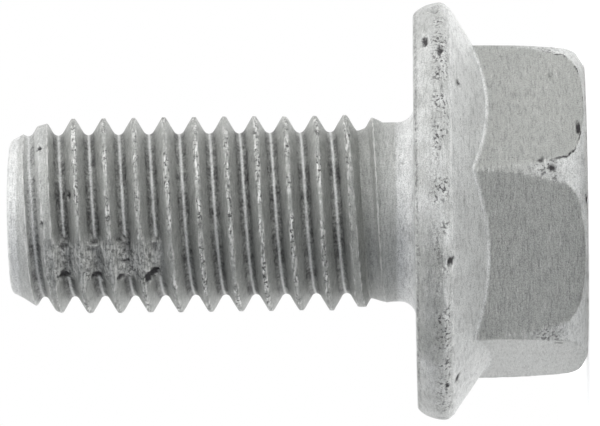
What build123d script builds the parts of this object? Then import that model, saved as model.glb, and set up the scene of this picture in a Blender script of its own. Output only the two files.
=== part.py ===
from build123d import *
from math import ceil, cos, radians, sin, sqrt, tan
import os

# Hexagon flange bolt, M10 with a coarse right-hand thread, cold formed in one piece: a hexagon
# head with an integral flange, a short plain neck, a thread rolled up to the neck and a bevelled
# point. The origin is the centre of the flange's bearing face. The shank rises along +Z and the
# head lies below it, with one corner of the hexagon towards +X. Lengths are in millimetres over
# the zinc coat, and angles in degrees.

# Shank
shank_length = 20.2  # from the bearing face to the end of the point
neck_depth = 0.41  # radial step from the thread's crests down to the plain neck
neck_length = 1.2  # from the bearing face to where the thread's crests rise out of the neck
underhead_radius = 0.8  # fillet from the neck to the bearing face

# Thread
thread_diameter = 9.774  # over the crests
thread_pitch = 1.5
flank_angle = 30.0  # of each flank, from the plane square to the axis
crest_width = 0.19  # flat along the top of the thread
groove_depth = 0.867  # from the crests down to the flat bottom of the groove
crest_clocking = 0.365  # height of a crest above the bearing face towards +X, within one pitch
crest_run_out = 2.0  # length over which the crests rise from the neck to their full height
groove_delay = 0.35  # how much further from the head than the crests the groove starts
groove_run_out = 1.45  # length over which the groove sinks to its full depth

# Point, as lengths back from the end and radial steps in from the crests
lead_length = 3.0  # where the crests start to come in
bevel_length = 1.65  # where the lead turns into the steeper bevel
bevel_step = 0.29
end_edge_length = 0.2  # where the bevel turns into the blunt edge of the end face
end_edge_step = 1.04
end_face_step = 1.3

# Flange
flange_diameter = 20.77  # at its widest
rim_height = 1.67  # from the bearing face to the corner between the rim and the cone
rim_top_bevel = 0.13  # how far that corner is broken down the rim and up the cone
bearing_inset = 0.735  # radial step from the rim's widest place in to the flat bearing face
bearing_bevel_step = 0.42  # the first of the three slopes down the rim's barrel shape
bearing_bevel_depth = 0.29
rim_lean_step = 0.05  # how far in from the widest place the second slope ends
rim_lean_depth = 1.0
flange_slope = 33.0  # of the cone from the rim up to the hexagon

# Hexagon head
across_flats = 14.75
head_height = 8.48  # from the bearing face to the top of the head, flange included
corner_radius = 0.5  # along the six corners
corner_draft = 4.4  # the corners taper in towards the top of the head
corner_trim = 0.466  # how far the corners stand back from sharp ones where the crown starts
crown_height = 0.98  # height of the edge round the top, which has two slopes
crown_width = 1.0  # radial width of the same edge
upper_crown_height = 0.46  # of its upper, flatter slope
upper_crown_width = 0.65

# What follows from these sizes
lap = 0.2  # how far a shape runs on inside the one that it is fused with
crest_r = thread_diameter / 2
neck_r = crest_r - neck_depth
root_r = crest_r - groove_depth
groove_half_width = (thread_pitch - crest_width) / 2
flank_slope = tan(radians(flank_angle))
full_crest = neck_length + crest_run_out
flange_r = flange_diameter / 2


def eased(start, corner, end):
    """A rounding of a square corner, from a point on one side to a point on the other."""
    pull = 0.55  # close to a circle
    start, corner, end = Vector(*start), Vector(*corner), Vector(*end)
    return Bezier(start, start + (corner - start) * pull, end + (corner - end) * pull, end)


def threaded_blank():
    """The threaded length before its groove: the crests' run-out, the cylinder and the point."""
    bottom = neck_length - crest_run_out * lap / neck_depth
    with BuildPart() as blank:
        with BuildSketch(Plane.XZ):
            with BuildLine():
                Polyline(
                    (0, bottom),
                    (neck_r - lap, bottom),
                    (crest_r, full_crest),
                    (crest_r, shank_length - lead_length),
                    (crest_r - bevel_step, shank_length - bevel_length),
                    (crest_r - end_edge_step, shank_length - end_edge_length),
                    (crest_r - end_face_step, shank_length),
                    (0, shank_length),
                    close=True,
                )
            make_face()
        revolve(axis=Axis.Z)
    return blank.part


def groove_turn():
    """One turn of the groove between the crests, wound right-handed from height 0 towards +X."""
    overhang = crest_width / 4
    mouth_r = crest_r + overhang / flank_slope
    mouth = groove_half_width + overhang
    root = groove_half_width - groove_depth * flank_slope
    with BuildPart() as turn:
        with BuildLine() as route:
            Helix(thread_pitch, thread_pitch, root_r)
        with BuildSketch(Plane.XZ):
            with BuildLine():
                Polyline(
                    (mouth_r, -mouth),
                    (root_r, -root),
                    (root_r, root),
                    (mouth_r, mouth),
                    close=True,
                )
            make_face()
        sweep(path=route.line, is_frenet=True)
    return turn.part


def thread():
    """The blank with its groove cut turn by turn, from inside the head to past the end."""
    first = crest_clocking - 1.5 * thread_pitch
    turns = ceil((shank_length + thread_pitch - first) / thread_pitch)
    turn = groove_turn()
    return threaded_blank() - [Pos(0, 0, first + n * thread_pitch) * turn for n in range(turns)]


def flange_and_neck():
    """The flange with its barrel-shaped rim, the neck, and the core that ends the groove."""
    groove_start = neck_length + groove_delay
    core_end = groove_start + groove_run_out * (1 + lap / (neck_r - root_r))
    slope = radians(flange_slope)
    cone_start = flange_r - rim_top_bevel * cos(slope)
    cone_end_r = across_flats / 2 - lap
    cone_end = -rim_height - (flange_r - cone_end_r) * tan(slope)
    with BuildPart() as body:
        with BuildSketch(Plane.XZ):
            with BuildLine():
                Polyline(
                    (0, cone_end),
                    (0, core_end),
                    (root_r - lap, core_end),
                    (neck_r, groove_start),
                    (neck_r, underhead_radius),
                )
                eased((neck_r, underhead_radius), (neck_r, 0), (neck_r + underhead_radius, 0))
                Polyline(
                    (neck_r + underhead_radius, 0),
                    (flange_r - bearing_inset, 0),
                    (flange_r - bearing_inset + bearing_bevel_step, -bearing_bevel_depth),
                    (flange_r - rim_lean_step, -rim_lean_depth),
                    (flange_r, rim_top_bevel - rim_height),
                    (cone_start, -rim_height - rim_top_bevel * sin(slope)),
                    (cone_end_r, cone_end),
                    (0, cone_end),
                )
            make_face()
        revolve(axis=Axis.Z)
    return body.part


def hexagon_head():
    """The wrenching hexagon, with its corners and top edge turned down."""
    corner_r = across_flats / sqrt(3) - corner_trim
    crown_start = crown_height - head_height
    taper = tan(radians(corner_draft))
    base_r = corner_r - (crown_start + rim_height) * taper
    with BuildPart() as head:
        with BuildSketch(Plane.XY.offset(-head_height)) as hexagon:
            RegularPolygon(across_flats / 2, 6, major_radius=False)
            fillet(hexagon.vertices(), corner_radius)
        extrude(amount=head_height - rim_height)
        with BuildSketch(Plane.XZ):
            with BuildLine():
                Polyline(
                    (0, -head_height),
                    (0, -rim_height),
                    (base_r, -rim_height),
                    (corner_r, crown_start),
                    (corner_r - crown_width + upper_crown_width, upper_crown_height - head_height),
                    (corner_r - crown_width, -head_height),
                    close=True,
                )
            make_face()
        revolve(axis=Axis.Z, mode=Mode.INTERSECT)
    return head.part


flange_bolt = flange_and_neck() + hexagon_head() + thread()

os.makedirs("parts", exist_ok=True)
export_step(flange_bolt, "parts/flange_bolt.step")
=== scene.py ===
"""Hexagon flange bolt in dull zinc-plated steel, standing on its head."""

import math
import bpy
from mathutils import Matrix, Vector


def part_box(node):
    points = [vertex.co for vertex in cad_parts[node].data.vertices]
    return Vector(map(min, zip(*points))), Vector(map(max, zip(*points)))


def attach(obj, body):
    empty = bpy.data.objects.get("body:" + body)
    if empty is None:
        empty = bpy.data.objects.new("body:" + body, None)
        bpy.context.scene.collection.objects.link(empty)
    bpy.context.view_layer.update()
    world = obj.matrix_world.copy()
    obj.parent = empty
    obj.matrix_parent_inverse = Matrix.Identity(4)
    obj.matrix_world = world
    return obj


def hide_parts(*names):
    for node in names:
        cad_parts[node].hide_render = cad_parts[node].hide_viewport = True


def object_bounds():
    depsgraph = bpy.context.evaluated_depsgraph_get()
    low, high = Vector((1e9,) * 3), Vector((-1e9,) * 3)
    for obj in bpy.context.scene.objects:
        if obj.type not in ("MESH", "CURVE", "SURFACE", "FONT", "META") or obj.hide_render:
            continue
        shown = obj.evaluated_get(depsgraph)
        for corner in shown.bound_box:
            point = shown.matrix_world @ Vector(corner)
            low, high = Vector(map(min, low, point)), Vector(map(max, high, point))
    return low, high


bl_info = {
    "name": "Flange bolt",
    "version": (1, 0, 0),
    "blender": (4, 5, 0),
    "location": "3D View > Sidebar > Flange Bolt",
    "description": "Makes a zinc-plated hexagon flange bolt and a plain stage for it",
    "category": "Object",
}

import bmesh
import bpy
from mathutils import Matrix, Vector, noise

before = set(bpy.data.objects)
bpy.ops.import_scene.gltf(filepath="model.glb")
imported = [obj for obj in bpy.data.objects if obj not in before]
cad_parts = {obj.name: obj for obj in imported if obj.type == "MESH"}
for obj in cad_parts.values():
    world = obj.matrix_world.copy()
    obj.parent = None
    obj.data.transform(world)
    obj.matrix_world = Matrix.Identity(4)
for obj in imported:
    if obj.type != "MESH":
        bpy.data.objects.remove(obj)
cad_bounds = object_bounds()

MM = 0.001
BOLT_LOW, BOLT_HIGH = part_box("flange_bolt")

# Shapes below are in millimetres; heights count from the bearing face towards the shank's end.
THREAD_STEPS = 160  # steps per turn
FLANK_ANGLE = 30  # degrees from the thread's cross-section
CREST_ROUNDING = 0.07
NECK_CUT = 1.0  # height where the thread's sheet meets the underside
TIP_CUT = 0.35  # and how far before the end it meets the dome
HEXAGON_FOOT = -3.0
BEARING_RINGS = 8
CONE_RINGS = 14
FACE_RINGS = 26
CROWN_START = 1.68  # distance from the head's top
PATCH_AZIMUTH = -106  # degrees, middle of the mashed patch of the thread
SHARP_ANGLE = math.radians(38)
COLOUR_LAYERS = ("grime_and_painted_shade", "edge", "clean_and_painted_light", "pitted", "crest")

# Stage, in metres and degrees
CAMERA_DISTANCE = 0.3478
CAMERA_HEIGHT = -0.00174
AIM_HEIGHT = 0.00571
CAMERA_ROLL = 0.73
FLOOR_RADIUS = 0.09

# How far the crests sink towards the shank's end, as (distance from the end, drop)
TIP_BEVEL = (
    (3.0, 0.0),
    (2.58, 0.03),
    (1.93, 0.27),
    (1.31, 0.42),
    (0.73, 0.8),
    (0.3, 1.03),
    (0.0, 1.2),
)

# The blunt end inside the last bevel, as (distance inwards, distance below the end)
TIP_DOME = (
    (0.05, 0.25),
    (0.12, 0.18),
    (0.22, 0.13),
    (0.35, 0.105),
    (0.6, 0.09),
    (1.0, 0.07),
    (1.6, 0.045),
    (2.2, 0.025),
    (2.9, 0.01),
)

# The barrel-shaped rim, as (distance inside the flange's radius, distance below the bearing face)
RIM_OUTLINE = (
    (0.62, 0.02),
    (0.54, 0.065),
    (0.47, 0.13),
    (0.4, 0.21),
    (0.33, 0.3),
    (0.25, 0.42),
    (0.19, 0.54),
    (0.14, 0.66),
    (0.1, 0.78),
    (0.07, 0.9),
    (0.04, 1.03),
    (0.015, 1.17),
    (0.0, 1.32),
    (0.008, 1.42),
    (0.03, 1.51),
    (0.07, 1.59),
    (0.13, 1.66),
    (0.2, 1.73),
)

# The turned envelope, as (distance from the head's top, distance inside the sharp corner)
CORNER_TRIM = (
    (0.0, 1.43),
    (0.18, 1.11),
    (0.38, 0.79),
    (0.58, 0.61),
    (0.78, 0.49),
    (0.98, 0.39),
    (CROWN_START, 0.30),
    (2.98, 0.14),
)

# Distances of the crown's rings from the head's top
CROWN_RINGS = (
    1.4, 1.2, 1.05, 0.98, 0.9, 0.84, 0.78, 0.73, 0.68, 0.63, 0.58, 0.53, 0.48, 0.43, 0.38, 0.33,
    0.28, 0.24, 0.2, 0.16, 0.12, 0.08, 0.04, 0.0,
)


# ---------------------------------------------------------------- shapes

def smooth(low, high, value):
    """0 below low, 1 above high, and a soft S between them."""
    share = min(max((value - low) / (high - low), 0.0), 1.0)
    return share * share * (3 - 2 * share)


def along(points, place):
    """Height of the line through (place, height) points, straight between them."""
    if place <= points[0][0]:
        return points[0][1]
    for (start, low), (end, high) in zip(points, points[1:]):
        if place <= end:
            return low + (high - low) * (place - start) / (end - start)
    return points[-1][1]


def turned_difference(first, second):
    """Smallest angle from second to first, in degrees."""
    return (first - second + 180) % 360 - 180


def from_corner(azimuth):
    """Angle from the hexagon's nearest corner."""
    return (azimuth + math.pi / 6) % (math.pi / 3) - math.pi / 6


class BoltForm:
    """The bolt's outline in millimetres, worked out from the sizes in the panel."""

    def __init__(self, sizes):
        self.length = sizes.shank_length / MM
        self.crest = sizes.thread_diameter / MM / 2
        self.root = self.crest - sizes.thread_depth / MM
        self.pitch = sizes.thread_pitch / MM
        self.crest_width = sizes.crest_width / MM
        self.neck = sizes.neck_diameter / MM / 2
        self.rim = sizes.flange_diameter / MM / 2
        self.rim_height = sizes.rim_height / MM
        self.flat = sizes.across_flats / MM / 2
        self.corner_radius = sizes.corner_radius / MM
        self.head = sizes.head_height / MM
        self.slope = math.tan(sizes.flange_slope)
        self.underhead = sizes.underhead_radius / MM
        self.start = sizes.thread_start / MM

    def thread_outline(self):
        """One pitch of the thread from root to root, as (height, radius)."""
        lean = math.tan(math.radians(FLANK_ANGLE))
        root_half = self.pitch / 2 - self.crest_width / 2 - (self.crest - self.root) * lean
        root_rounding = root_half / lean
        crest_centre = self.pitch / 2 - self.crest_width / 2 + CREST_ROUNDING * lean
        half = []
        for turn in (0, 20, 40, 60):
            turn = math.radians(turn)
            z = root_rounding * math.sin(turn)
            half.append((z, self.root + root_rounding * (1 - math.cos(turn))))
        top = []
        for turn in (60, 35, 10):
            turn = math.radians(turn)
            z = crest_centre - CREST_ROUNDING * math.sin(turn)
            top.append((z, self.crest - CREST_ROUNDING * (1 - math.cos(turn))))
        (low_z, low), (high_z, high) = half[-1], top[0]
        for share in (0.2, 0.4, 0.6, 0.8):
            half.append((low_z + (high_z - low_z) * share, low + (high - low) * share))
        half += top + [(self.pitch / 2, self.crest)]
        return half + [(self.pitch - z, radius) for z, radius in reversed(half[:-1])]

    def highest(self, z):
        """Radius that the crests reach at height z, lower in the run-out and at the tip."""
        run_out = (
            (1.2, self.neck),
            (1.65, self.neck + 0.06),
            (2.1, self.crest - 0.14),
            (2.8, self.crest - 0.17),
            (3.35, self.crest),
        )
        tip = tuple((self.length - back, self.crest - drop) for back, drop in TIP_BEVEL)
        return along(run_out + tip, z)

    def lowest(self, z):
        """Radius that the bottom of the groove has at height z."""
        return along(
            (
                (1.6, self.neck),
                (2.15, self.root + 0.29),
                (2.7, self.root + 0.08),
                (3.05, self.root),
            ),
            z,
        )

    def hexagon(self, azimuth):
        """Radius of the rounded hexagon; a corner lies on +X."""
        rounding = self.corner_radius
        corner = from_corner(azimuth)
        centre = (self.flat - rounding) / math.cos(math.pi / 6)
        tangent = math.atan2(rounding / 2, centre + rounding * math.cos(math.pi / 6))
        if abs(corner) < tangent:
            across = centre * math.sin(corner)
            return centre * math.cos(corner) + math.sqrt(rounding ** 2 - across ** 2)
        return self.flat / math.cos(math.pi / 6 - abs(corner))

    def turned(self, z):
        """Radius of the turned envelope that trims the hexagon's corners."""
        sharp = self.flat / math.cos(math.pi / 6)
        trim = tuple((above - self.head, sharp - inside) for above, inside in CORNER_TRIM)
        return along(trim + ((HEXAGON_FOOT, sharp - 0.01),), z)

    def trimmed(self, azimuth, z):
        """Radius of the hexagon with its corners trimmed."""
        return min(self.hexagon(azimuth), self.turned(z))

    def cone(self, radius):
        """Height of the flange's cone at a radius."""
        return -self.rim_height - (self.rim - radius) * self.slope


def thread_mesh(form):
    """The threaded shank as one helical sheet, cut level at both ends."""
    bm = bmesh.new()
    first = form.start - form.pitch / 2 - form.pitch
    chain = [bm.verts.new((radius, 0, first + z)) for z, radius in form.thread_outline()]
    for low, high in zip(chain, chain[1:]):
        bm.edges.new((low, high))
    bmesh.ops.spin(
        bm,
        geom=bm.verts[:] + bm.edges[:],
        cent=(0, 0, 0),
        axis=(0, 0, 1),
        dvec=(0, 0, form.pitch / THREAD_STEPS),
        angle=math.tau,
        steps=THREAD_STEPS,
        use_merge=False,
    )
    turn = bm.verts[:] + bm.edges[:] + bm.faces[:]
    for number in range(1, math.ceil((form.length - first) / form.pitch) + 1):
        copy = bmesh.ops.duplicate(bm, geom=turn)["geom"]
        moved = [item for item in copy if isinstance(item, bmesh.types.BMVert)]
        bmesh.ops.translate(bm, verts=moved, vec=(0, 0, number * form.pitch))
    bmesh.ops.remove_doubles(bm, verts=bm.verts[:], dist=0.01)
    for vert in bm.verts:
        x, y, z = vert.co
        radius = math.hypot(x, y)
        wanted = min(max(radius, form.lowest(z)), form.highest(z))
        vert.co = (x * wanted / radius, y * wanted / radius, z)
    for height, upwards in ((NECK_CUT, 1), (form.length - TIP_CUT, -1)):
        bmesh.ops.bisect_plane(
            bm,
            geom=bm.verts[:] + bm.edges[:] + bm.faces[:],
            dist=0.0001,
            plane_co=(0, 0, height),
            plane_no=(0, 0, upwards),
            clear_inner=True,
            clear_outer=False,
        )
    return bm


def open_ring(bm, height):
    """The boundary edges of the open end at a height."""
    return [
        edge
        for edge in bm.edges
        if edge.is_boundary and all(abs(vert.co.z - height) < 0.02 for vert in edge.verts)
    ]


def carry_on(bm, ring, place):
    """Extrudes an open ring and puts each new vertex where place(azimuth) says."""
    made = bmesh.ops.extrude_edge_only(bm, edges=ring)["geom"]
    for vert in made:
        if isinstance(vert, bmesh.types.BMVert):
            azimuth = math.atan2(vert.co.y, vert.co.x)
            azimuth, radius, z = place(azimuth)
            vert.co = (radius * math.cos(azimuth), radius * math.sin(azimuth), z)
    return [edge for edge in made if isinstance(edge, bmesh.types.BMEdge)]


def close_ring(bm, ring, height):
    """Draws a ring together at a pole."""
    made = bmesh.ops.extrude_edge_only(bm, edges=ring)["geom"]
    pole = [vert for vert in made if isinstance(vert, bmesh.types.BMVert)]
    bmesh.ops.pointmerge(bm, verts=pole, merge_co=(0, 0, height))


def add_point(bm, form):
    """The blunt domed end of the shank."""
    ring = open_ring(bm, form.length - TIP_CUT)
    edge = form.highest(form.length - TIP_CUT)
    for inside, drop in TIP_DOME:
        ring = carry_on(bm, ring, lambda azimuth: (azimuth, edge - inside, form.length - drop))
    close_ring(bm, ring, form.length)


def add_underside(bm, form):
    """Fillet and bearing face; returns the open ring at the rim."""
    ring = open_ring(bm, NECK_CUT)
    for step in range(7):
        turn = math.radians(15 * step)
        radius = form.neck + form.underhead * (1 - math.cos(turn))
        z = form.underhead * (1 - math.sin(turn))
        ring = carry_on(bm, ring, lambda azimuth: (azimuth, radius, z))
    inner = form.neck + form.underhead + 0.35
    bearing = form.rim - 0.735
    ring = carry_on(bm, ring, lambda azimuth: (azimuth, inner, 0))
    bmesh.ops.subdivide_edges(bm, edges=ring, cuts=1)
    ring = open_ring(bm, 0)
    crowding = 0.1 / BEARING_RINGS  # draws the vertices together at the hexagon's corners
    for step in range(1, BEARING_RINGS + 1):
        radius = inner + (bearing - inner) * step / BEARING_RINGS
        ring = carry_on(
            bm, ring, lambda azimuth: (azimuth - crowding * math.sin(6 * azimuth), radius, 0.0)
        )
    return ring


def add_flange(bm, form, ring):
    """Rim and cone; returns the open ring at the hexagon's foot."""
    for inside, drop in RIM_OUTLINE:
        ring = carry_on(bm, ring, lambda azimuth: (azimuth, form.rim - inside, -drop))
    cone_start = form.rim - 0.27
    for step in range(CONE_RINGS + 1):
        share = min(step / (CONE_RINGS - 1), 0.985) if step < CONE_RINGS else 1

        def place(azimuth):
            foot = form.trimmed(azimuth, HEXAGON_FOOT)
            radius = cone_start + (foot - cone_start) * share
            return azimuth, radius, form.cone(radius)

        ring = carry_on(bm, ring, place)
    return ring


def add_hexagon(bm, form, ring):
    """The hexagon's faces, its crown and the head's top."""
    crown = CROWN_START - form.head
    for step in range(FACE_RINGS + 1):

        def place(azimuth):
            foot = form.cone(form.trimmed(azimuth, HEXAGON_FOOT)) - 0.06
            z = foot + (crown - foot) * step / FACE_RINGS
            return azimuth, form.trimmed(azimuth, z), z

        ring = carry_on(bm, ring, place)
    for above in CROWN_RINGS:
        z = above - form.head
        ring = carry_on(bm, ring, lambda azimuth: (azimuth, form.trimmed(azimuth, z), z))
    edge = form.turned(-form.head)
    for radius in (edge - 0.15, edge - 0.4, 6.0, 5.0, 4.0, 3.0, 2.0, 1.2, 0.6):
        ring = carry_on(bm, ring, lambda azimuth: (azimuth, radius, -form.head))
    close_ring(bm, ring, -form.head)


# ---------------------------------------------------------------- wear

# Marks on the head: azimuth in degrees, height, half-widths around and along, depth, darkness
HEAD_MARKS = (
    (-20.1, -0.63, 0.62, 0.17, 0.10, 0.9),
    (-24.4, -1.32, 0.5, 0.2, 0.08, 0.9),
    (-1.6, -1.1, 0.4, 0.25, 0.14, 0.5),
    (-32.0, -1.3, 0.16, 0.1, 0.05, 0.6),
    (-38.5, -1.42, 0.2, 0.09, 0.05, 0.6),
    (-45.0, -1.3, 0.15, 0.1, 0.05, 0.6),
    (-57.0, -1.28, 0.14, 0.1, 0.05, 0.6),
    (-87.6, -1.37, 0.18, 0.24, 0.12, 0.3),
    (-88.2, -1.79, 0.26, 0.2, 0.10, 1.0),
    (-129.9, -1.5, 0.24, 0.15, 0.10, 0.9),
    (-130.9, -2.07, 0.34, 0.14, 0.10, 0.9),
    (-33.0, -2.24, 0.3, 0.12, 0.05, 0.7),
    (-14.3, -6.79, 0.26, 0.24, 0.09, 0.3),
    (-42.1, -8.03, 0.55, 0.12, 0.09, 0.9),
    (-56.7, -6.2, 0.16, 0.18, 0.06, 0.8),
    (-59.5, -6.71, 0.3, 0.2, 0.06, 0.8),
    (-127.2, -6.99, 0.12, 0.24, 0.06, 0.9),
    (-70.0, -8.46, 0.18, 0.1, 0.04, 0.9),
)

# The same for the thread: holes torn at the sides of the mashed patch, and small chips
THREAD_MARKS = (
    (-117.5, 17.3, 0.2, 0.34, 0.12, 1.0),
    (-119.5, 15.7, 0.24, 0.3, 0.12, 1.0),
    (-118.0, 14.4, 0.16, 0.34, 0.1, 1.0),
    (-116.0, 12.95, 0.26, 0.4, 0.14, 1.0),
    (-94.5, 17.3, 0.14, 0.3, 0.06, 0.6),
    (-92.0, 15.8, 0.12, 0.26, 0.06, 0.6),
    (-90.5, 14.5, 0.14, 0.24, 0.06, 0.6),
    (-106.0, 14.2, 0.12, 0.3, 0.06, 0.8),
    (-26.9, 18.48, 0.2, 0.16, 0.08, 0.9),
    (-60.7, 16.99, 0.24, 0.1, 0.08, 0.9),
    (-79.4, 18.33, 0.2, 0.12, 0.08, 0.9),
)


def press_marks(bm, marks, grime_and_painted_shade):
    """Presses the marks into the surface and stores their dirt."""
    bm.normal_update()
    for vert in bm.verts:
        azimuth = math.degrees(math.atan2(vert.co.y, vert.co.x))
        radius = math.hypot(vert.co.x, vert.co.y)
        if radius < 3.7:
            continue
        for centre, height, around, up, depth, dark in marks:
            across = turned_difference(azimuth, centre)
            if abs(across) > 12 or abs(vert.co.z - height) > 1.5:
                continue
            across = math.radians(across) * radius / around
            off = (vert.co.z - height) / up
            ragged = 1 + 0.6 * noise.fractal(vert.co * 3, 0.6, 2.0, 3)
            press = smooth(1.25, 0.25, math.hypot(across, off) * ragged)
            vert.co -= vert.normal * depth * press
            vert[grime_and_painted_shade] = max(vert[grime_and_painted_shade], dark * press)


def patch_share(azimuth, z, core):
    """How far a place lies inside the mashed patch; core is its full part in degrees."""
    around = smooth(19, core, abs(turned_difference(azimuth, PATCH_AZIMUTH)))
    return around * (smooth(12.2, 12.7, z) * smooth(18.5, 18.0, z))


def wear_thread(bm, form, grime_and_painted_shade):
    """Mashes a band of crests, and waves the rest a little."""
    for vert in bm.verts:
        x, y, z = vert.co
        if z < 1.6 or z > form.length - 0.5:
            continue
        radius = math.hypot(x, y)
        azimuth = math.degrees(math.atan2(y, x))
        wanted = radius
        crestness = smooth(form.crest - 0.25, form.crest - 0.02, radius)
        wave = noise.fractal(vert.co * 0.9, 0.8, 2.0, 3)
        chip = noise.noise(vert.co * 2.6 + Vector((7, 3, 1)))
        wanted -= crestness * (0.018 * (1 + wave) + 0.07 * smooth(0.25, 0.6, chip))
        window = patch_share(azimuth, z, 11)
        if window > 0:
            mashed = 4.4 + 0.2 * noise.fractal(vert.co * 1.5, 0.7, 2.0, 5)
            share = 0.6 if radius > mashed else 0.62 + 0.4 * noise.noise(vert.co * 0.9)
            wanted = wanted + (mashed - wanted) * window * share
            wanted = min(wanted + 0.05 * window * noise.noise(vert.co * 5.0), form.crest)
            vert[grime_and_painted_shade] = 0.5 * window * smooth(0.15, 0.5, noise.noise(vert.co * 4.5))
        vert.co = (x * wanted / radius, y * wanted / radius, z)


def coat(bm):
    """Slight lumps of the plating, always inwards from the nominal surface."""
    bm.normal_update()
    shifts = []
    for vert in bm.verts:
        lump = noise.fractal(vert.co * 2.2, 0.9, 2.0, 4)
        swell = noise.noise(vert.co * 0.45)
        shifts.append(0.006 + 0.008 * (1 + lump) + 0.008 * (1 + swell))
    for vert, shift in zip(bm.verts, shifts):
        vert.co -= vert.normal * shift


def thread_tone(form, vert, layers, azimuth, radius):
    """Tones of the shank, with dirt and painted shade low in the groove and a painted highlight
    along its root; returns its brightness.
    """
    grime_and_painted_shade, pitted, crest = layers["grime_and_painted_shade"], layers["pitted"], layers["crest"]
    z = vert.co.z
    # Dirt and painted shade: a darker band low in the groove, beside the root
    depth = radius - form.root
    band = smooth(0.004, 0.014, depth) * smooth(0.36, 0.08, depth)
    band *= smooth(2.2, 3.2, z) * smooth(form.length - 0.9, form.length - 1.4, z)
    band *= 0.85 + 0.5 * noise.noise(vert.co * 1.3)
    vert[grime_and_painted_shade] = max(vert[grime_and_painted_shade], 0.5 * band)
    window = patch_share(math.degrees(azimuth), z, 12)
    vert[pitted] = window * (0.4 + 0.5 * noise.noise(vert.co * 1.6))
    top = smooth(form.crest - 0.13, form.crest - 0.05, radius)
    top *= smooth(-0.5, 0.15, noise.noise(vert.co * 0.8 + Vector((5, 2, 9))))
    vert[crest] = max(top, 0.45 * window)
    ends = 0.36 * smooth(form.length - 2.3, form.length - 1.7, z) + 0.3 * smooth(2.2, 1.2, z)
    # Painted highlight: a thin bright line along the groove's root
    return max(ends, 0.9 * smooth(0.016, 0.004, depth))


def flange_tone(form, vert, layers, azimuth, radius):
    """Tones of the rim and the cone, with painted shade along the bearing edge and on one side of
    the rim and a painted glint at a burr; returns their brightness.
    """
    grime_and_painted_shade, pitted = layers["grime_and_painted_shade"], layers["pitted"]
    z = vert.co.z
    degrees = math.degrees(azimuth)
    # Painted shade: a dark line along the rim's bearing edge
    vert[grime_and_painted_shade] = max(vert[grime_and_painted_shade], 0.34 * smooth(-0.3, -0.14, z) * smooth(9.7, 9.9, radius))
    worn = smooth(-0.75, -1.15, z) * smooth(-1.85, -1.6, z)
    vert[pitted] = worn * 0.85 * smooth(-0.4, 0.3, noise.noise(vert.co * 0.9))
    bright = 0.48 + 0.27 * smooth(-1.7, -1.9, z)
    bright += 0.35 * noise.noise(vert.co * 1.1 + Vector((3, 8, 2))) * smooth(-1.9, -1.6, z)
    bright = max(bright, 0.75 * smooth(0.04, 0.02, radius - form.hexagon(azimuth)))
    # Painted highlight: a bright glint on the edge from rim to cone at azimuth -80.8, where a burr
    # stands out
    painted_burr_glint = math.radians(turned_difference(degrees, -80.8)) * radius / 0.7
    bright = max(bright, math.exp(-painted_burr_glint * painted_burr_glint) * smooth(0.16, 0.08, abs(z + 1.62)))
    # Painted shade: the rim's face made darker around azimuth -101
    dull_and_painted_shade = smooth(24, 12, abs(turned_difference(degrees, -101)))
    return bright - 0.4 * dull_and_painted_shade * smooth(-1.5, -1.3, z) * smooth(9.8, 10.0, radius)


def hexagon_tone(form, vert, layers, azimuth):
    """Tones of the hexagon and the head's top, with a painted reflection on the lower faces;
    returns their brightness.
    """
    grime_and_painted_shade, pitted = layers["grime_and_painted_shade"], layers["pitted"]
    z = vert.co.z
    degrees = math.degrees(azimuth)
    trim = form.hexagon(azimuth) - form.turned(z)
    reach = 0.015 + 0.05 * smooth(-5.5, -7.5, z)
    corner = smooth(reach + 0.04, reach, abs(from_corner(azimuth))) * smooth(-4.5, -6.5, z)
    vert[pitted] = 0.7 * corner * smooth(-5.3, -6.0, z) * smooth(-7.4, -6.8, z)
    crown = smooth(-0.02, 0.05, trim) * smooth(1.9 - form.head, 1.3 - form.head, z)
    # Painted reflection: the lower faces around azimuth -150 made lighter
    lower = smooth(29, 27, abs(turned_difference(degrees, -150)))
    foot = smooth(0.03, 0.01, form.cone(form.hexagon(azimuth)) - z)
    # The torn line where the crown begins, dark near one corner and faint elsewhere
    seam = (trim + 0.07 * noise.noise(vert.co * 2.3)) / 0.04
    torn = 0.3 + 0.7 * smooth(30, 24, abs(turned_difference(degrees, -30)))
    torn *= smooth(-0.4, 0.2, noise.noise(vert.co * 1.4)) * smooth(0.12, 0.25, -z - 6.6)
    vert[grime_and_painted_shade] = max(vert[grime_and_painted_shade], torn * math.exp(-seam * seam))
    return max(0.75 * crown, 0.5 * corner, 0.35 * lower, 0.5 * foot)


def mark_tone(bm, form):
    """Stores where the plating is bright, pitted or rubbed, with painted highlights and shade in
    the bright layer, and where dirt and painted shade lie in the groove.
    """
    layers = {name: bm.verts.layers.float[name] for name in COLOUR_LAYERS}
    for vert in bm.verts:
        z = vert.co.z
        radius = math.hypot(vert.co.x, vert.co.y)
        azimuth = math.atan2(vert.co.y, vert.co.x)
        if z > 0.9:
            bright = thread_tone(form, vert, layers, azimuth, radius)
        elif z > form.cone(radius) - 0.15 and radius > 7.0:
            bright = flange_tone(form, vert, layers, azimuth, radius)
        elif z > -0.1:
            bright = 0.45 + 0.55 * smooth(6.6, 5.2, radius)
        else:
            bright = hexagon_tone(form, vert, layers, azimuth)
        vert[layers["clean_and_painted_light"]] = min(bright, 1.0)


def lean_head(bm):
    """Sets the upset hexagon a little beside the shank's axis."""
    for vert in bm.verts:
        vert.co -= Vector((0.092, 0.026, 0)) * smooth(-1.9, HEXAGON_FOOT, vert.co.z)


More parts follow.
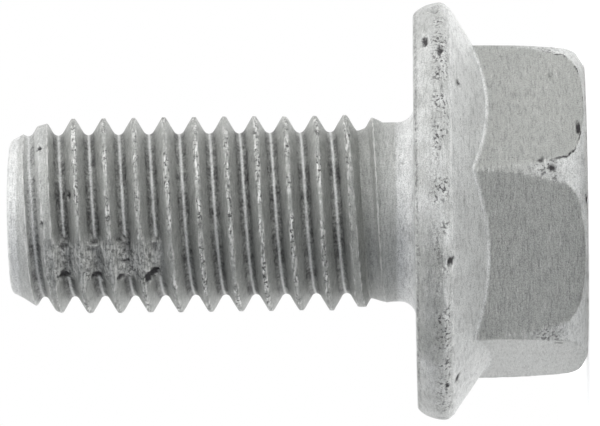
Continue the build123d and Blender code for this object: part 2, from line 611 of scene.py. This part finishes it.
def mark_edges(bm, edge_layer):
    """Stores how much each vertex stands proud of its neighbours."""
    for vert in bm.verts:
        around = [edge.other_vert(vert).co for edge in vert.link_edges]
        middle = sum(around, Vector()) / len(around)
        reach = sum((co - vert.co).length for co in around) / len(around)
        proud = (vert.co - middle).dot(vert.normal) / max(reach, 0.02)
        vert[edge_layer] = min(max(0.5 + proud * 1.2, 0.0), 1.0)


# ---------------------------------------------------------------- materials

def new_group(name, inputs, outputs):
    """A shader node group with named sockets."""
    tree = bpy.data.node_groups.new(name, "ShaderNodeTree")
    for label, kind, default in inputs:
        socket = tree.interface.new_socket(label, in_out="INPUT", socket_type=kind)
        if default is not None:
            socket.default_value = default
    for label, kind in outputs:
        tree.interface.new_socket(label, in_out="OUTPUT", socket_type=kind)
    return tree, tree.nodes.new("NodeGroupInput"), tree.nodes.new("NodeGroupOutput")


def add(tree, kind, settings=None, **inputs):
    """Adds a node; inputs are numbers, colours or the sockets to link."""
    node = tree.nodes.new(kind)
    for key, value in (settings or {}).items():
        setattr(node, key, value)
    for key, value in inputs.items():
        key = int(key[1:]) if key[0] == "i" and key[1:].isdigit() else key.replace("_", " ")
        if isinstance(value, bpy.types.NodeSocket):
            tree.links.new(value, node.inputs[key])
        else:
            node.inputs[key].default_value = value
    return node


def mix_colour(tree, share, first, second, blend="MIX"):
    """A colour mix; returns its output socket."""
    node = tree.nodes.new("ShaderNodeMix")
    node.data_type = "RGBA"
    node.blend_type = blend
    sockets = (node.inputs[0], node.inputs[6], node.inputs[7])
    for socket, value in zip(sockets, (share, first, second)):
        if isinstance(value, bpy.types.NodeSocket):
            tree.links.new(value, socket)
        else:
            socket.default_value = value
    return node.outputs[2]


def spread(tree, value, low, high, to_low=0.0, to_high=1.0):
    """A soft map from one range to another."""
    node = add(
        tree,
        "ShaderNodeMapRange",
        {"interpolation_type": "SMOOTHSTEP"},
        i0=value,
        i1=low,
        i2=high,
        i3=to_low,
        i4=to_high,
    )
    return node.outputs[0]


def grain_group():
    """Fine grains, broad patches and small dark flecks of the plating."""
    tree, given, out = new_group(
        "Plating grain",
        (
            ("Grains per metre", "NodeSocketFloat", 16000.0),
            ("Patches per metre", "NodeSocketFloat", 700.0),
            ("Flecks per metre", "NodeSocketFloat", 6500.0),
        ),
        (
            ("Grain", "NodeSocketFloat"),
            ("Patches", "NodeSocketFloat"),
            ("Flecks", "NodeSocketFloat"),
            ("Drag", "NodeSocketFloat"),
        ),
    )
    place = tree.nodes.new("ShaderNodeTexCoord").outputs["Object"]
    fine = add(
        tree, "ShaderNodeTexNoise", Vector=place, Scale=given.outputs[0], Detail=3.0, Roughness=0.8
    )
    broad = add(
        tree, "ShaderNodeTexNoise", Vector=place, Scale=given.outputs[1], Detail=5.0, Roughness=0.65
    )
    flecks = add(
        tree, "ShaderNodeTexNoise", Vector=place, Scale=given.outputs[2], Detail=3.0, Roughness=0.6
    )
    flat = add(tree, "ShaderNodeMapping", Vector=place, Scale=(0.28, 0.28, 1.6))
    drag = add(
        tree,
        "ShaderNodeTexNoise",
        Vector=flat.outputs[0],
        Scale=given.outputs[2],
        Detail=3.0,
        Roughness=0.7,
    )
    for number, socket in enumerate((fine, broad, flecks, drag)):
        tree.links.new(socket.outputs[0], out.inputs[number])
    return tree


def arithmetic(tree, operation, *values):
    """A math node; returns its output socket."""
    inputs = {f"i{number}": value for number, value in enumerate(values)}
    return add(tree, "ShaderNodeMath", {"operation": operation}, **inputs).outputs[0]


def zinc_material(finish):
    """Dull zinc plating, brighter on worn edges and dark in pits."""
    material = bpy.data.materials.new("Zinc plating")
    material.use_nodes = True
    tree = material.node_tree
    tree.nodes.clear()
    grain = tree.nodes.new("ShaderNodeGroup")
    grain.node_tree = grain_group()
    fine, patches, flecks, drag = grain.outputs
    edge, grime_and_painted_shade, clean_and_painted_light, pitted, crest = (
        add(tree, "ShaderNodeAttribute", {"attribute_name": name}).outputs["Fac"]
        for name in ("edge", "grime_and_painted_shade", "clean_and_painted_light", "pitted", "crest")
    )
    dark = (*finish.grime_and_painted_shade, 1)

    # Patches, bright plating with painted highlights and painted shade, blotches, grains and drag
    # marks
    dull_and_painted_shade = spread(tree, patches, 0.35, 0.65)
    colour = mix_colour(tree, dull_and_painted_shade, (*finish.zinc_dark, 1), (*finish.zinc, 1))
    colour = mix_colour(tree, clean_and_painted_light, colour, (*finish.bright_zinc_and_painted_highlight, 1))
    blotch = arithmetic(tree, "MULTIPLY", spread(tree, patches, 0.42, 0.66), 0.16)
    colour = mix_colour(tree, blotch, colour, dark)
    grainy = arithmetic(tree, "MULTIPLY", spread(tree, fine, 0.6, 0.34), 0.42)
    colour = mix_colour(tree, grainy, colour, dark)
    dragged = arithmetic(tree, "MULTIPLY", spread(tree, drag, 0.54, 0.3), 0.3)
    colour = mix_colour(tree, dragged, colour, dark)

    # Edges and crests rubbed bright
    rubbed = arithmetic(tree, "ADD", edge, arithmetic(tree, "MULTIPLY_ADD", drag, 0.9, -0.45))
    rubbed = spread(tree, rubbed, 0.58, 0.8)
    shine = arithmetic(tree, "MULTIPLY", crest, spread(tree, drag, 0.46, 0.6))
    rubbed = arithmetic(tree, "MULTIPLY", rubbed, 0.6)
    colour = mix_colour(tree, arithmetic(tree, "MAXIMUM", rubbed, shine), colour, (*finish.worn, 1))

    # Dark specks, pits, burnt crests, and dirt and painted shade with a ragged edge
    speck = spread(tree, flecks, 0.66, 0.74)
    cluster = arithmetic(tree, "MULTIPLY", pitted, spread(tree, flecks, 0.515, 0.61))
    burnt = arithmetic(tree, "MULTIPLY", crest, spread(tree, flecks, 0.53, 0.61))
    dirt_and_painted_shade = arithmetic(tree, "MAXIMUM", arithmetic(tree, "MULTIPLY", speck, 0.55), cluster)
    dirt_and_painted_shade = arithmetic(tree, "MAXIMUM", dirt_and_painted_shade, arithmetic(tree, "MULTIPLY", burnt, 0.85))
    ragged = arithmetic(tree, "ADD", grime_and_painted_shade, arithmetic(tree, "MULTIPLY_ADD", flecks, 1.0, -0.5))
    ragged = spread(tree, ragged, 0.1, 0.8)
    ragged = arithmetic(tree, "MULTIPLY", ragged, spread(tree, grime_and_painted_shade, 0.0, 0.2))
    dirt_and_painted_shade = arithmetic(tree, "MAXIMUM", dirt_and_painted_shade, ragged)
    colour = mix_colour(tree, dirt_and_painted_shade, colour, dark)

    # Relief and shine
    rough = spread(tree, fine, 0.25, 0.75, finish.roughness - 0.1, finish.roughness + 0.14)
    height = arithmetic(tree, "MULTIPLY_ADD", dirt_and_painted_shade, -1.2, fine)
    height = arithmetic(tree, "MULTIPLY_ADD", drag, 0.8, height)
    bump = add(tree, "ShaderNodeBump", Strength=0.8, Distance=0.00005, Height=height)
    shader = add(
        tree,
        "ShaderNodeBsdfPrincipled",
        Base_Color=colour,
        Metallic=0.6,
        Roughness=rough,
        Normal=bump.outputs[0],
    )
    out = tree.nodes.new("ShaderNodeOutputMaterial")
    tree.links.new(shader.outputs[0], out.inputs[0])
    return material


# ---------------------------------------------------------------- panel

def length(name, description, millimetres):
    """A length property."""
    return bpy.props.FloatProperty(
        name=name,
        description=description,
        default=millimetres * MM,
        min=0.0,
        unit="LENGTH",
        precision=5,
    )


def tint(name, description, colour):
    """A colour property."""
    return bpy.props.FloatVectorProperty(
        name=name,
        description=description,
        default=colour,
        size=3,
        min=0.0,
        max=1.0,
        subtype="COLOR",
    )


class FlangeBoltSizes(bpy.types.PropertyGroup):
    shank_length: length("Shank length", "From the bearing face to the end", BOLT_HIGH[2] / MM)
    thread_diameter: length("Thread diameter", "Over the crests", 9.774)
    thread_depth: length("Thread depth", "From crest to root", 0.867)
    thread_pitch: length("Thread pitch", "From crest to crest", 1.5)
    thread_start: length("Thread start", "Height of a crest over the corner on X", 0.365)
    crest_width: length("Crest width", "Flat on a crest", 0.19)
    neck_diameter: length("Neck diameter", "Plain part under the flange", 8.954)
    underhead_radius: length("Underhead radius", "Fillet between neck and flange", 0.8)
    flange_diameter: length("Flange diameter", "Over the rim", (BOLT_HIGH[0] - BOLT_LOW[0]) / MM)
    rim_height: length("Rim height", "From the bearing face to the cone", 1.67)
    across_flats: length("Across flats", "Between opposite faces of the hexagon", 14.95)
    corner_radius: length("Corner radius", "Rounding of the hexagon's corners", 0.25)
    head_height: length("Head height", "From the bearing face to the top", -BOLT_LOW[2] / MM)
    flange_slope: bpy.props.FloatProperty(
        name="Flange slope",
        description="Slope of the cone above the rim",
        default=math.radians(33),
        subtype="ANGLE",
    )


class FlangeBoltFinish(bpy.types.PropertyGroup):
    zinc: tint("Zinc", "Clean plating", (0.555, 0.565, 0.54))
    # Bright zinc also gives the painted highlights on the thread's roots, the rim's burr and the
    # lower hexagon faces
    bright_zinc_and_painted_highlight: tint("Bright zinc", "Smoother, brighter plating", (0.93, 0.94, 0.93))
    zinc_dark: tint("Dull zinc", "Duller patches of the plating", (0.45, 0.459, 0.44))
    worn: tint("Worn edges", "Where the plating is rubbed bright", (0.84, 0.84, 0.82))
    # Grime also gives the painted shade low in the thread's grooves and along the rim's bearing
    # edge
    grime_and_painted_shade: tint("Grime", "Dirt in pits and nicks", (0.045, 0.043, 0.045))
    roughness: bpy.props.FloatProperty(
        name="Roughness", description="Dullness of the plating", default=0.38, min=0.0, max=1.0
    )


class FLANGEBOLT_OT_make_bolt(bpy.types.Operator):
    """Make the bolt with its thread, flange and hexagon head"""

    bl_idname = "flange_bolt.make_bolt"
    bl_label = "Make Bolt"

    def execute(self, context):
        form = BoltForm(context.scene.flange_bolt_sizes)
        bm = thread_mesh(form)
        add_point(bm, form)
        ring = add_underside(bm, form)
        ring = add_flange(bm, form, ring)
        add_hexagon(bm, form, ring)
        bmesh.ops.remove_doubles(bm, verts=bm.verts[:], dist=0.002)
        bmesh.ops.recalc_face_normals(bm, faces=bm.faces[:])
        for name in COLOUR_LAYERS:
            bm.verts.layers.float.new(name)
        grime_and_painted_shade = bm.verts.layers.float["grime_and_painted_shade"]
        wear_thread(bm, form, grime_and_painted_shade)
        press_marks(bm, HEAD_MARKS + THREAD_MARKS, grime_and_painted_shade)
        mark_tone(bm, form)
        coat(bm)
        lean_head(bm)
        bm.normal_update()
        mark_edges(bm, bm.verts.layers.float["edge"])
        for face in bm.faces:
            face.smooth = True
        for side in bm.edges:
            side.smooth = len(side.link_faces) != 2 or side.calc_face_angle(0) < SHARP_ANGLE
        bmesh.ops.scale(bm, vec=(MM, MM, MM), verts=bm.verts[:])
        mesh = bpy.data.meshes.new("Bolt")
        bm.to_mesh(mesh)
        open_edges = sum(1 for side in bm.edges if not side.is_manifold)
        bm.free()
        if open_edges:
            raise RuntimeError(f"the bolt has {open_edges} open edges")
        bolt = bpy.data.objects.new("bolt", mesh)
        context.scene.collection.objects.link(bolt)
        mesh.materials.append(zinc_material(context.scene.flange_bolt_finish))
        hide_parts("flange_bolt")
        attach(bolt, "root")
        return {"FINISHED"}


class FLANGEBOLT_OT_set_stage(bpy.types.Operator):
    """Set the pale floor, the soft studio light and the camera"""

    bl_idname = "flange_bolt.set_stage"
    bl_label = "Set Stage"

    def execute(self, context):
        scene = context.scene
        towards_camera = Vector((0.2706, -0.9627, 0.0)).normalized()
        sideways = Vector((-towards_camera.y, towards_camera.x, 0.0))
        set_camera(scene, towards_camera, sideways)
        set_world(scene, towards_camera, sideways)
        set_lamps(scene, towards_camera, sideways)
        set_floor(scene)
        scene.view_settings.view_transform = "Standard"
        return {"FINISHED"}


def set_camera(scene, towards_camera, sideways):
    """The bolt lies across the picture, head to the right."""
    data = bpy.data.cameras.new("Camera")
    data.lens = 420
    data.sensor_width = 36
    data.clip_start = 0.01
    data.clip_end = 20
    camera = bpy.data.objects.new("Camera", data)
    scene.collection.objects.link(camera)
    place = towards_camera * CAMERA_DISTANCE + Vector((0, 0, CAMERA_HEIGHT))
    forward = (Vector((0, 0, AIM_HEIGHT)) - place).normalized()
    roll = math.radians(CAMERA_ROLL)
    right = Vector((0, 0, -1)) * math.cos(roll) - sideways * math.sin(roll)
    right = (right - forward * right.dot(forward)).normalized()
    up = right.cross(forward)
    turn = Matrix((right, up, -forward)).transposed()
    camera.matrix_world = Matrix.Translation(place) @ turn.to_4x4()
    scene.camera = camera


def set_world(scene, towards_camera, sideways):
    """White behind the bolt; a softly uneven studio in its reflections."""
    world = bpy.data.worlds.new("Studio")
    world.use_nodes = True
    scene.world = world
    tree = world.node_tree
    tree.nodes.clear()
    place = tree.nodes.new("ShaderNodeTexCoord").outputs["Generated"]
    dim = (towards_camera * 0.72 - sideways * 0.69).normalized()
    facing = add(tree, "ShaderNodeVectorMath", {"operation": "DOT_PRODUCT"}, i0=place, i1=dim)
    shade = spread(tree, facing.outputs["Value"], 0.25, 0.95, 0.98, 0.08)
    path = tree.nodes.new("ShaderNodeLightPath")
    strength = add(
        tree, "ShaderNodeMix", {"data_type": "FLOAT"}, i0=path.outputs[0], i2=shade, i3=1.0
    )
    cool = spread(tree, facing.outputs["Value"], 0.2, 0.95)
    cool = arithmetic(tree, "SUBTRACT", cool, path.outputs[0])
    tone = mix_colour(tree, cool, (1.0, 1.0, 1.0, 1), (0.9, 0.97, 1.1, 1))
    back = add(tree, "ShaderNodeBackground", Color=tone, Strength=strength.outputs[0])
    out = tree.nodes.new("ShaderNodeOutputWorld")
    tree.links.new(back.outputs[0], out.inputs[0])


def set_lamps(scene, towards_camera, sideways):
    """Two large soft lamps."""
    for name, place, size, energy in (
        ("Side lamp", sideways * 0.34 + towards_camera * 0.28 + Vector((0, 0, 0.08)), 0.32, 0.34),
        ("End lamp", towards_camera * 0.08 + sideways * 0.24 + Vector((0, 0, 0.46)), 0.46, 0.85),
    ):
        data = bpy.data.lights.new(name, "AREA")
        data.shape = "DISK"
        data.size = size
        data.energy = energy
        lamp = bpy.data.objects.new(name, data)
        scene.collection.objects.link(lamp)
        turn = place.to_track_quat("Z", "Y").to_matrix()
        lamp.matrix_world = Matrix.Translation(place) @ turn.to_4x4()


def set_floor(scene):
    """A pale round floor under the head."""
    bm = bmesh.new()
    bmesh.ops.create_circle(bm, cap_ends=True, radius=FLOOR_RADIUS, segments=96)
    mesh = bpy.data.meshes.new("Floor")
    bmesh.ops.translate(bm, verts=bm.verts[:], vec=(0, 0, cad_bounds[0][2]))
    bm.to_mesh(mesh)
    bm.free()
    floor = bpy.data.objects.new("floor", mesh)
    scene.collection.objects.link(floor)
    material = bpy.data.materials.new("Floor")
    material.use_nodes = True
    tree = material.node_tree
    tree.nodes.clear()
    path = tree.nodes.new("ShaderNodeLightPath")
    rays = path.outputs
    seen = arithmetic(tree, "MAXIMUM", rays["Is Glossy Ray"], rays["Is Transmission Ray"])
    seen = arithmetic(tree, "MAXIMUM", rays["Is Camera Ray"], seen)
    shader = add(
        tree,
        "ShaderNodeBsdfPrincipled",
        Base_Color=(0.82, 0.82, 0.82, 1),
        Roughness=0.9,
        Emission_Color=(1, 1, 1, 1),
        Emission_Strength=arithmetic(tree, "MULTIPLY", seen, 0.5),
    )
    out = tree.nodes.new("ShaderNodeOutputMaterial")
    tree.links.new(shader.outputs[0], out.inputs[0])
    mesh.materials.append(material)


class FLANGEBOLT_PT_panel(bpy.types.Panel):
    """Lists the bolt's sizes, its finish and the operators"""

    bl_label = "Flange Bolt"
    bl_space_type = "VIEW_3D"
    bl_region_type = "UI"
    bl_category = "Flange Bolt"

    def draw(self, context):
        layout = self.layout
        for group in (context.scene.flange_bolt_sizes, context.scene.flange_bolt_finish):
            for name in group.bl_rna.properties.keys():
                if name not in {"rna_type", "name"}:
                    layout.prop(group, name)
        layout.operator(FLANGEBOLT_OT_make_bolt.bl_idname)
        layout.operator(FLANGEBOLT_OT_set_stage.bl_idname)


classes = (
    FlangeBoltSizes,
    FlangeBoltFinish,
    FLANGEBOLT_OT_make_bolt,
    FLANGEBOLT_OT_set_stage,
    FLANGEBOLT_PT_panel,
)


def register():
    for item in classes:
        bpy.utils.register_class(item)
    bpy.types.Scene.flange_bolt_sizes = bpy.props.PointerProperty(type=FlangeBoltSizes)
    bpy.types.Scene.flange_bolt_finish = bpy.props.PointerProperty(type=FlangeBoltFinish)


def unregister():
    del bpy.types.Scene.flange_bolt_finish
    del bpy.types.Scene.flange_bolt_sizes
    for item in reversed(classes):
        bpy.utils.unregister_class(item)


def main():
    register()
    bpy.ops.flange_bolt.set_stage()
    bpy.ops.flange_bolt.make_bolt()


if __name__ == "__main__":
    main()
